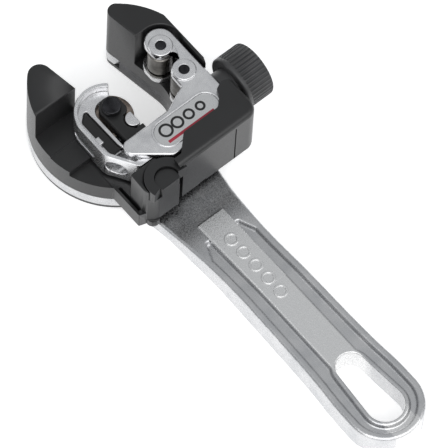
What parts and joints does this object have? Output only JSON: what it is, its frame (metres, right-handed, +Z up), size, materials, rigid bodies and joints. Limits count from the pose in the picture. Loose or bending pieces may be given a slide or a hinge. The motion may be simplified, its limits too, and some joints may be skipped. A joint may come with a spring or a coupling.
{
  "type": "pipe cutter",
  "caption": "Close-quarters tube cutter clamped in an open C-shaped ratchet handle, with a hinged gate, sliding hook and ribbed feed knob.",
  "frame": {"origin": "the ratchet's turning axis on the plane that the tool rests on", "axes": "+X along the handle towards its grip, +Y towards the feed knob along the feed screw, +Z up along the ratchet's axis towards the badge side"},
  "size_m": [0.2113, 0.0881, 0.0398],
  "materials": {
    "cast_aluminium": "bead-blasted casting",
    "zinc_casting": "satin die casting",
    "black_nylon": "moulded, fine texture",
    "knob_plastic": "moulded ribs",
    "dark_steel": "black oxide",
    "roller_steel": "turned, dark",
    "wheel_steel": "ground tool steel",
    "spring_steel": "drawn wire",
    "bright_steel": "zinc plated",
    "badge_paint": "satin with printed marks"
  },
  "bodies": {
    "handle": {"handle": "cast_aluminium", "front_pawl_spring": "spring_steel", "rear_pawl_spring": "spring_steel", "pawl_covers": "bright_steel", "pawl_pins": "bright_steel"},
    "front_pawl": {"front_pawl": "dark_steel"},
    "rear_pawl": {"rear_pawl": "dark_steel"},
    "cradle": {"cradle_shell": "black_nylon", "ratchet_gear": "dark_steel", "retainer_plate": "black_nylon", "retainer_screws": "dark_steel", "cutter_frame": "zinc_casting", "badge": "badge_paint", "roller_pins": "dark_steel", "thrust_washer": "bright_steel"},
    "gate": {"gate": "black_nylon"},
    "knob": {"knob": "knob_plastic", "feed_screw": "bright_steel", "screw_clip": "spring_steel"},
    "hook": {"hook_slide": "zinc_casting", "groove_cover": "black_nylon", "spring_clip": "zinc_casting", "autofeed_springs": "spring_steel"},
    "carriage": {"wheel_carriage": "black_nylon", "wheel_pin": "dark_steel"},
    "wheel": {"cutter_wheel": "wheel_steel"},
    "front_roller": {"front_roller": "roller_steel"},
    "rear_roller": {"rear_roller": "roller_steel"}
  },
  "joints": [
    {"name": "ratchet_turn", "type": "hinge", "parent": "handle", "child": "cradle", "pos_m": [0, 0, 0.0053], "axis": [0, 0, 1], "continuous": true},
    {"name": "gate_swing", "type": "hinge", "parent": "cradle", "child": "gate", "pos_m": [0.0445, -0.0112, 0.0245], "axis": [0, 0, 1], "range_deg": [-48, 0]},
    {"name": "knob_turn", "type": "hinge", "parent": "cradle", "child": "knob", "pos_m": [0.0244, 0.04, 0.027], "axis": [0, 1, 0], "range_deg": [-2880, 1800]},
    {"name": "hook_feed", "type": "slide", "parent": "cradle", "child": "hook", "axis": [0, 1, 0], "range_m": [-0.0101, 0.0161]},
    {"name": "autofeed", "type": "slide", "parent": "hook", "child": "carriage", "axis": [0, 1, 0], "range_m": [-0.001, 0], "stiffness_N_per_m": 2000, "springref_m": 0.003, "deforming": ["autofeed_springs"]},
    {"name": "wheel_spin", "type": "hinge", "parent": "carriage", "child": "wheel", "pos_m": [0.0051, -0.0074, 0.027], "axis": [0, 0, 1], "continuous": true},
    {"name": "front_roller_spin", "type": "hinge", "parent": "cradle", "child": "front_roller", "pos_m": [-0.0026, 0.0244, 0.027], "axis": [0, 0, 1], "continuous": true},
    {"name": "rear_roller_spin", "type": "hinge", "parent": "cradle", "child": "rear_roller", "pos_m": [0.0117, 0.0247, 0.027], "axis": [0, 0, 1], "continuous": true},
    {"name": "front_pawl_lift", "type": "hinge", "parent": "handle", "child": "front_pawl", "pos_m": [0.0239, 0.02005, 0.0053], "axis": [0, 0, 1], "range_deg": [-8, 0], "stiffness_Nm_per_rad": 0.02, "springref_deg": 17.19, "deforming": ["front_pawl_spring"]},
    {"name": "rear_pawl_lift", "type": "hinge", "parent": "handle", "child": "rear_pawl", "pos_m": [0.02005, -0.0239, 0.0053], "axis": [0, 0, 1], "range_deg": [-8, 0], "stiffness_Nm_per_rad": 0.02, "springref_deg": 17.19, "deforming": ["rear_pawl_spring"]}
  ],
  "couplings": [
    {"joint": "hook_feed", "follows": "knob_turn", "m_per_rad": -0.00031831}
  ]
}
